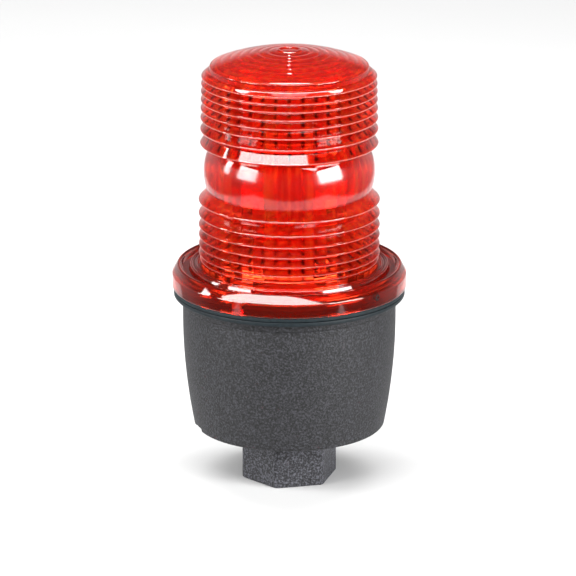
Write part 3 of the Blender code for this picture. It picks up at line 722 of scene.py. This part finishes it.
def body_rows():
    """The cup's section: over the collar, down the outside, under the floor and up the inside."""
    rows = arc((COLLAR_RADIUS - 0.0005, COLLAR_TOP - 0.0005), 0.0005, 90, 0, 5)
    rows += [(COLLAR_RADIUS, RIM_TOP)]
    rows += arc((RIM_RADIUS - 0.0003, RIM_TOP - 0.0003), 0.0003, 90, 0, 4)
    rows += arc((RIM_RADIUS - 0.0003, RIM_BOTTOM + 0.0003), 0.0003, 0, -90, 4)
    rows += [(SHOULDER_RADIUS + 0.0003, RIM_BOTTOM), (SHOULDER_RADIUS, RIM_BOTTOM - 0.0003)]
    rows += arc((SHOULDER_RADIUS - 0.0003, BODY_TOP + 0.0003), 0.0003, 0, -70, 4)
    rows += [(BODY_RADIUS, BODY_TOP - 0.0003)]
    rows += [(body_radius(z), z) for z in spread(BODY_BULGE_TOP, HUB_HEIGHT + FOOT_ROUND, 26)]
    foot = (body_radius(HUB_HEIGHT + FOOT_ROUND) - FOOT_ROUND, HUB_HEIGHT + FOOT_ROUND)
    rows += arc(foot, FOOT_ROUND, -6, -90, 8)[1:]
    rows += [(WIRE_HOLE_RADIUS, HUB_HEIGHT), (WIRE_HOLE_RADIUS, FLOOR_TOP)]
    rows += [(body_radius(z) - WALL, z) for z in spread(FLOOR_TOP, 0.0590, 14)]
    rows += [(COLLAR_INNER_RADIUS, 0.0625), (COLLAR_INNER_RADIUS, COLLAR_TOP - 0.0003)]
    rows += [(COLLAR_INNER_RADIUS + 0.0003, COLLAR_TOP)]
    return rows


def hexagonal(across_flats, turn=HUB_TURN):
    """A radius that follows a hexagon, with its corners rounded off a little."""
    flat = across_flats / 2

    def reach(angle):
        turned = math.degrees(angle) + 90 - turn
        from_flat = math.radians((turned % 60) - 30)
        straight = flat / math.cos(from_flat)
        round_off = flat * 2 / math.sqrt(3) * (1 - HEXAGON_CORNER_CUT)
        return min(straight, round_off)

    return reach


def threaded(height):
    """A tapered bore's radius at that height, with a V-shaped thread that climbs as it turns."""
    mean = BORE_MOUTH_RADIUS - height * BORE_TAPER

    def reach(angle):
        across = (height / THREAD_PITCH - angle / math.tau) % 1
        return mean + THREAD_DEPTH * (0.5 - abs(2 * across - 1))

    return reach


def hub_rows():
    """The hexagon's outside from the floor down, under its foot and up the threaded bore."""
    edge = 0.0004
    rows = [(hexagonal(HUB_ACROSS_FLATS), HUB_HEIGHT + 0.0010), (hexagonal(HUB_ACROSS_FLATS), edge)]
    rows += [(hexagonal(HUB_ACROSS_FLATS - edge), edge / 3), (hexagonal(HUB_ACROSS_FLATS - 2 * edge), 0)]
    rows += [(BORE_MOUTH_RADIUS + 0.0009, 0), (BORE_MOUTH_RADIUS + 0.0004, 0.0006)]
    rows += [(threaded(z), z) for z in spread(0.0008, BORE_DEPTH, 110)]
    rows += [(WIRE_HOLE_RADIUS + 0.0001, BORE_DEPTH), (WIRE_HOLE_RADIUS + 0.0001, HUB_HEIGHT + 0.0010)]
    return rows


def make_housing():
    """The cup, its hexagonal hub, the bayonet ledges and the bosses for the board's screws."""
    body = lathe("housing_shell", body_rows(), closed=True)
    shell = add_piece("housing_shell", body, "housing_body", PEBBLED_PLASTIC,
                      replaces=["housing"])
    cut_notch(shell)
    refinish(shell, RIM_PLASTIC, above=RIM_BOTTOM - 0.0001)
    hub = lathe("housing_hub", hub_rows(), 180, closed=True)
    add_piece("housing_hub", hub, "housing_body", LIGHTER_PEBBLED_PLASTIC, sharp=25)
    half_gap = math.degrees(GAP_WIDTH / 2 / COLLAR_RADIUS)
    spacing = 360 / len(BAYONET_BEARINGS)
    for number, bearing in enumerate(BAYONET_BEARINGS, 1):
        ledge = sector(f"bayonet_ledge_{number}", COLLAR_RADIUS - 0.0003, LEDGE_RADIUS, LEDGE_BOTTOM,
                       LEDGE_TOP, bearing + half_gap, bearing + spacing - half_gap, 60)
        add_piece(f"bayonet_ledge_{number}", ledge, "housing_body", INNER_PLASTIC)
    for number, bearing in enumerate(BOSS_BEARINGS, 1):
        top, foot = BOARD_BOTTOM - 0.0003, FLOOR_TOP - 0.0005
        rows = [(0.0016, top), (0.0031, top), (0.0034, top - 0.0003), (0.0037, foot), (0.0016, foot)]
        boss = moved(lathe(f"screw_boss_{number}", rows, 40, closed=True),
                     (*at_bearing(bearing, BOSS_CIRCLE), 0))
        add_piece(f"screw_boss_{number}", boss, "housing_body", INNER_PLASTIC)


def cut_notch(shell):
    """Cuts the drain notch out of the housing's bottom edge."""
    spot = (*at_bearing(NOTCH_BEARING, BODY_FOOT_RADIUS + 0.0002), HUB_HEIGHT + 0.0001)
    mesh = moved(rounded_box("notch_cutter", NOTCH_SIZE, 0.0002), spot, NOTCH_BEARING)
    cutter = new_object("notch_cutter", mesh)
    modifier = shell.modifiers.new("notch", "BOOLEAN")
    modifier.operation = "DIFFERENCE"
    modifier.solver = "EXACT"
    modifier.object = cutter
    bpy.context.view_layer.update()
    evaluated = shell.evaluated_get(bpy.context.evaluated_depsgraph_get())
    cut = bpy.data.meshes.new_from_object(evaluated)
    shell.modifiers.clear()
    shell.data = cut
    bpy.data.objects.remove(cutter)


def make_gasket():
    """The rubber ring between the lens's skirt and the housing's rim."""
    edge = 0.0003
    rows = [(GASKET_INNER_RADIUS + edge, GASKET_TOP)]
    rows += arc((GASKET_RADIUS - edge, GASKET_TOP - edge), edge, 90, 0, 4)
    rows += arc((GASKET_RADIUS - edge, GASKET_BOTTOM + edge), edge, 0, -90, 4)
    rows += [(GASKET_INNER_RADIUS + edge, GASKET_BOTTOM), (GASKET_INNER_RADIUS, GASKET_BOTTOM + edge)]
    rows.append((GASKET_INNER_RADIUS, GASKET_TOP - edge))
    add_piece("gasket_ring", lathe("gasket_ring", rows, closed=True), "gasket_body",
              RUBBER, replaces=["lens_gasket"])


# ---------------------------------------------------------------- board and its parts


def make_board():
    """The round board, with its screws and solder joints."""
    edge = 0.0002
    rows = [(0, BOARD_TOP), (BOARD_RADIUS - edge, BOARD_TOP), (BOARD_RADIUS, BOARD_TOP - edge)]
    rows += [(BOARD_RADIUS, BOARD_BOTTOM + edge), (BOARD_RADIUS - edge, BOARD_BOTTOM), (0, BOARD_BOTTOM)]
    add_piece("board_disc", lathe("board_disc", rows, 144), "housing_body",
              BOARD_WHITE, replaces=["circuit_board"])
    for number, bearing in enumerate(BOSS_BEARINGS, 1):
        make_board_screw(number, at_bearing(bearing, BOSS_CIRCLE))
    for number, bearing in enumerate(range(15, 360, 30), 1):
        rows = [(0, 0.0007), (0.0006, 0.0005), (0.0011, 0.00015), (0.0012, 0)]
        joint = moved(lathe(f"solder_joint_{number}", rows + [(0, 0)], 20),
                      (*at_bearing(bearing, 0.0285), BOARD_TOP))
        add_piece(f"solder_joint_{number}", joint, "housing_body", SOLDER)


def make_board_screw(number, spot):
    """Pan head screw, with dark bars painted on its head as the shade of a cross recess."""
    head = 0.0028
    rows = [(0, 0.0012), (0.0008, 0.0014), (0.0010, 0.0020)]
    rows += arc((head - 0.0010, 0.0010), 0.0010, 90, 0, 7)
    rows += [(head, 0.0001), (head - 0.0001, 0), (0.0013, 0), (0.0013, -0.0090), (0, -0.0095)]
    mesh = moved(lathe(f"pan_screw_{number}", rows, 40), (*spot, BOARD_SEAT))
    add_piece(f"pan_screw_{number}", mesh, "housing_body", STEEL,
              replaces=[f"board_screw_{number}"])
    # Dark bars standing in for the shade inside a cross recess: painted shade.
    for arm, turn in enumerate((20, 110), 1):
        bar = moved(rounded_box(f"painted_recess_shade_{number}_{arm}", (0.0030, 0.0006, 0.0001), 0.00004),
                    (*spot, BOARD_SEAT + 0.00203), turn + 30 * number)
        add_piece(f"painted_recess_shade_{number}_{arm}", bar, "housing_body", EPOXY)


def leads(name, centre, bearing, reach):
    """Two bent wire leads, from a lying part's ends down to the board."""
    angle = math.radians(bearing)
    along = Vector((-math.sin(angle), math.cos(angle), 0))
    for number, side in enumerate((-1, 1), 1):
        start = Vector(centre) + along * side * (reach - 0.0012)
        bend = Vector(centre) + along * side * reach
        points = [start, bend, bend + along * side * 0.0004 - Vector((0, 0, 0.0004))]
        points.append(Vector((points[-1].x, points[-1].y, BOARD_TOP)))
        wire(f"{name}_lead_{number}", points, 0.00030, "housing_body", SOLDER)


def make_topside_parts():
    """The trigger circuit and the rectifier."""
    rows = [(0, 0.0110), (0.0047, 0.0110), (0.0050, 0.0107), (0.0050, 0.0099), (0.0044, 0.0096)]
    rows += [(0.0044 + 0.00012 * (i % 2), z) for i, z in enumerate(spread(0.0094, 0.0024, 36))]
    rows += [(0.0044, 0.0022), (0.0050, 0.0018), (0.0050, 0.0003), (0.0047, 0), (0, 0)]
    coil = moved(lathe("trigger_coil", rows, 56), (0.0165, 0.0100, BOARD_SEAT))
    add_piece("trigger_coil", coil, "housing_body", FILM_YELLOW,
              replaces=["trigger_transformer"])
    width, depth, height = 0.011, 0.006, 0.0095
    block = moved(rounded_box("film_capacitor", (width, depth, height), 0.0009),
                  (-0.0170, 0.0120, BOARD_SEAT + height / 2))
    add_piece("film_capacitor", block, "housing_body", FILM_YELLOW,
              replaces=["trigger_capacitor"])
    make_resistor((0.0150, -0.0130, BOARD_SEAT + 0.0019), 40)
    for number in range(4):
        make_diode(number + 1, (-0.0185, 0.0045 - 0.0042 * number, BOARD_SEAT + 0.0014))


def lying(name, rows, centre, bearing, closed=False):
    """A turned mesh laid along the bearing about its centre."""
    return moved(moved(lathe(name, rows, 40, closed), tip=90), centre, bearing)


def make_resistor(centre, bearing):
    """Barrel-shaped resistor with colour bands and wire leads."""
    body = [(0, 0.0045), (0.0010, 0.0045), (0.0018, 0.0041), (0.0019, 0.0034), (0.0016, 0.0026)]
    rows = body + [(radius, -height) for radius, height in reversed(body)]
    add_piece("bleeder_body", lying("bleeder_body", rows, centre, bearing), "housing_body",
              CERAMIC, replaces=["bleeder_resistor"])
    bands = ((0.0032, PAINT_BROWN), (0.0016, PAINT_RED), (0.0, PAINT_BROWN), (-0.0032, BRASS))
    for number, (along, paint) in enumerate(bands, 1):
        radius = 0.00195 if abs(along) > 0.003 else 0.00165  # the end bands sit on the thicker caps
        rows = [(radius - 0.0003, along + 0.0004), (radius, along + 0.0003)]
        rows += [(radius, along - 0.0003), (radius - 0.0003, along - 0.0004)]
        mesh = lying(f"colour_band_{number}", rows, centre, bearing, closed=True)
        add_piece(f"colour_band_{number}", mesh, "housing_body", paint)
    leads("bleeder", centre, bearing, 0.0062)


def make_diode(number, centre):
    """Moulded diode with a cathode band and wire leads."""
    rows = [(0, 0.0026), (0.0012, 0.0026), (0.0014, 0.0024), (0.0014, -0.0024), (0.0012, -0.0026)]
    rows.append((0, -0.0026))
    add_piece(f"diode_{number}", lying(f"diode_{number}", rows, centre, 90), "housing_body",
              EPOXY, replaces=[f"rectifier_diode_{number}"])
    band = [(0.0012, 0.0019), (0.00145, 0.0018), (0.00145, 0.0012), (0.0012, 0.0011)]
    mesh = lying(f"diode_band_{number}", band, centre, 90, closed=True)
    add_piece(f"diode_band_{number}", mesh, "housing_body", SOLDER)
    leads(f"diode_{number}", centre, 90, 0.0040)


# ---------------------------------------------------------------- flash tube


def make_socket():
    """Moulded socket with a rounded edge and a brass ring at each pin."""
    edge = 0.0006
    rows = [(0, SOCKET_TOP), (SOCKET_RADIUS - 0.0014, SOCKET_TOP)]
    rows += arc((SOCKET_RADIUS - edge, SOCKET_TOP - edge), edge, 90, 0, 5)
    rows += [(SOCKET_RADIUS, SOCKET_TOP - 0.0012), (SOCKET_RADIUS, BOARD_SEAT + 0.0003)]
    rows += [(SOCKET_RADIUS - 0.0003, BOARD_SEAT), (0, BOARD_SEAT)]
    add_piece("socket_body", lathe("socket_body", rows, 96), "housing_body", CERAMIC,
              replaces=["tube_socket"])
    for number, bearing in enumerate(PIN_BEARINGS, 1):
        rows = [(0.0009, 0.00005), (0.0014, 0.00012), (0.0015, -0.0004), (0.0009, -0.0004)]
        mesh = moved(lathe(f"socket_contact_{number}", rows, 24, closed=True),
                     (*at_bearing(bearing, PIN_CIRCLE), SOCKET_TOP))
        add_piece(f"socket_contact_{number}", mesh, "housing_body", BRASS)


def make_tube_base():
    """The plug-in base and its four pins."""
    edge = 0.0003
    rows = [(0, BASE_SPIGOT_TOP), (BASE_SPIGOT_RADIUS - edge, BASE_SPIGOT_TOP)]
    rows += [(BASE_SPIGOT_RADIUS, BASE_SPIGOT_TOP - edge), (BASE_SPIGOT_RADIUS, BASE_TOP + 0.0001)]
    rows += [(BASE_RADIUS - edge, BASE_TOP), (BASE_RADIUS, BASE_TOP - edge)]
    rows += [(BASE_RADIUS, BASE_BOTTOM + edge), (BASE_RADIUS - edge, BASE_BOTTOM), (0, BASE_BOTTOM)]
    add_piece("tube_plug_base", lathe("tube_plug_base", rows, 96), "tube_body", CERAMIC,
              replaces=["tube_base"])
    for number, bearing in enumerate(PIN_BEARINGS, 1):
        pin = [(0, PIN_LENGTH), (PIN_RADIUS, PIN_LENGTH), (PIN_RADIUS, 0.0004), (0.0005, 0), (0, 0)]
        mesh = moved(lathe(f"contact_pin_{number}", pin, 24),
                     (*at_bearing(bearing, PIN_CIRCLE), PIN_BOTTOM))
        add_piece(f"contact_pin_{number}", mesh, "tube_body", BRASS,
                  replaces=[f"tube_pin_{number}"])


def make_tube_glass():
    """The outer glass, closed by a round top."""
    centre = (0, ENVELOPE_TOP - ENVELOPE_RADIUS)
    inner_radius = ENVELOPE_RADIUS - ENVELOPE_WALL
    rows = [(0, ENVELOPE_TOP)] + arc(centre, ENVELOPE_RADIUS, 90, 0, 20)[1:]
    rows += [(ENVELOPE_RADIUS, ENVELOPE_FOOT), (inner_radius, ENVELOPE_FOOT)]
    rows += arc(centre, inner_radius, 0, 90, 20)[:-1] + [(0, ENVELOPE_TOP - ENVELOPE_WALL)]
    add_piece("tube_glass", lathe("tube_glass", rows, 96), "tube_body", GLASS,
              replaces=["tube_envelope"])


def make_discharge_tube():
    """The electrodes, the bent tube that stands on them and the trigger wire round one of its legs."""
    for name, side in (("cathode", -1), ("anode", 1)):
        rows = [(0, ELECTRODE_TOP), (ELECTRODE_RADIUS - 0.0004, ELECTRODE_TOP)]
        rows += [(ELECTRODE_RADIUS, ELECTRODE_TOP - 0.0004), (ELECTRODE_RADIUS, ELECTRODE_BOTTOM)]
        mesh = moved(lathe(f"{name}_cap", rows + [(0, ELECTRODE_BOTTOM)], 32), (side * LEG_OFFSET, 0, 0))
        add_piece(f"{name}_cap", mesh, "tube_body", STEEL, replaces=[name])
    bend = arc((0, BEND_CENTRE), LEG_OFFSET, 180, 0, 25)
    path = [(-LEG_OFFSET, LEG_BOTTOM)] + bend + [(LEG_OFFSET, LEG_BOTTOM)]
    wire("discharge_tube", [(x, 0, z) for x, z in path], LEG_RADIUS, "tube_body", GLASS,
         replaces=["xenon_tube"], resolution=8)
    per_turn = 24
    steps = WINDING_TURNS * per_turn
    points = [(-LEG_OFFSET, WINDING_RADIUS, ELECTRODE_BOTTOM)]
    for step in range(steps + 1):
        angle = math.pi / 2 + math.tau * step / per_turn
        points.append((-LEG_OFFSET + WINDING_RADIUS * math.cos(angle), WINDING_RADIUS * math.sin(angle),
                       WINDING_BOTTOM + WINDING_RISE * step / steps))
    wire("trigger_winding", points, 0.00025, "tube_body", STEEL,
         replaces=["trigger_wire"], resolution=2)


def finish_hidden_parts():
    """Gives the parts under the board their own finishes. The casing hides them."""
    finishes = {
        "main_capacitor": SLEEVE, "filter_capacitor_1": SLEEVE, "filter_capacitor_2": SLEEVE,
        "power_resistor": CERAMIC, "fuse": CERAMIC, "varistor": VARISTOR_BLUE, "scr_body": EPOXY,
        "scr_tab": STEEL, "terminal_block": TERMINAL_GREEN, "terminal_screw_1": BRASS,
        "terminal_screw_2": BRASS, "terminal_screw_3": BRASS,
    }
    for node, finish in finishes.items():
        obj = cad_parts[node]
        obj.data.materials.clear()
        obj.data.materials.append(finish)
        obj.data.shade_smooth()
        obj.data.set_sharp_from_angle(angle=math.radians(35))


# ---------------------------------------------------------------- studio


def make_floor():
    """A pale sheet that runs back from just in front of the light."""
    side, front, back = 0.20, -0.18, 1.6
    mesh = bpy.data.meshes.new("floor")
    corners = [(-side, front, 0), (side, front, 0), (side, back, 0), (-side, back, 0)]
    mesh.from_pydata(corners, [], [(0, 1, 2, 3)])
    floor = new_object("floor", mesh)
    made, tree, shader = new_material("pale_floor", (0.50, 0.50, 0.50), 0.8)
    tone = object_noise(tree, 3)
    colours = ((0.3, (0.49, 0.49, 0.49)), (0.7, (0.51, 0.51, 0.51)))
    tree.links.new(ramp(tree, tone, colours), shader.inputs["Base Color"])
    mesh.materials.append(made)


def softbox(name, bearing, elevation, distance, width, height, power):
    """A rectangular light that faces the lens from that bearing and elevation, in degrees."""
    light = bpy.data.lights.new(name, "AREA")
    light.shape = "RECTANGLE"
    light.size = width
    light.size_y = height
    light.energy = power
    lamp = new_object(name, light)
    x, y = at_bearing(bearing, math.cos(math.radians(elevation)))
    away = Vector((x, y, math.sin(math.radians(elevation))))
    lamp.location = LIGHTS_AIM + away * distance
    lamp.rotation_euler = away.to_track_quat("Z", "Y").to_euler()


def sky_share(tree, along, stops):
    """Brightness of the surroundings along one axis, with stops from -1 as 0 to +1 as 1."""
    scale = tree.nodes.new("ShaderNodeMapRange")
    scale.inputs["From Min"].default_value = -1
    tree.links.new(along, scale.inputs["Value"])
    return ramp(tree, scale.outputs[0], [(place, (share, share, share)) for place, share in stops])


def make_lights():
    """Softboxes at both sides, high banks at the front and back, a small hair light and a weak sun."""
    softbox("left_softbox", -59, 14, 1.2, 0.58, 0.48, 15)
    softbox("left_strip", -93, 15, 1.2, 0.20, 0.50, 5)
    softbox("right_softbox", 57, 13, 1.2, 0.74, 0.52, 29)
    softbox("front_bank", -16, 45, 1.3, 2.8, 0.28, 35)
    softbox("hair_light", 180, 39, 1.2, 0.016, 0.016, 0.08)
    softbox("back_top", 180, 74, 1.5, 1.8, 0.3, 28)
    overhead = bpy.data.lights.new("overhead", "SUN")
    overhead.energy = 0.5
    overhead.angle = math.radians(25)
    new_object("overhead", overhead).rotation_euler = (math.radians(-6), 0, 0)


def make_world():
    """Surroundings that are bright at the level of the light and towards the back."""
    world = bpy.data.worlds.new("studio")
    world.use_nodes = True
    tree = world.node_tree
    background = tree.nodes["Background"]
    background.inputs["Color"].default_value = (1, 1, 1, 1)
    coordinates = tree.nodes.new("ShaderNodeTexCoord")
    split = tree.nodes.new("ShaderNodeSeparateXYZ")
    tree.links.new(coordinates.outputs["Generated"], split.inputs[0])
    sides = sky_share(tree, split.outputs["Y"], ((0.0, 0.12), (0.40, 0.20), (0.70, 0.75)))
    rise = sky_share(tree, split.outputs["Z"], ((0.3, 0.35), (0.5, 1.0), (0.56, 1.0), (0.67, 0.15)))
    tree.links.new(arithmetic(tree, "MULTIPLY", sides, rise), background.inputs["Strength"])
    bpy.context.scene.world = world


def make_camera():
    """A long lens, a little above the light and in front of it."""
    camera = bpy.data.cameras.new("camera")
    camera.sensor_width = 36
    camera.lens = 282.3
    view = new_object("camera", camera)
    view.location = (0, -1.450, 0.516)
    aim = Vector((-0.00044, 0, 0.066)) - view.location
    view.rotation_euler = aim.to_track_quat("-Z", "Y").to_euler()
    bpy.context.scene.camera = view
    bpy.context.scene.view_settings.view_transform = "Standard"


make_camera()
make_lens()
make_lugs()
make_lock_screw()
make_housing()
make_gasket()
make_board()
make_topside_parts()
make_socket()
make_tube_base()
make_tube_glass()
make_discharge_tube()
finish_hidden_parts()
make_floor()
make_lights()
make_world()
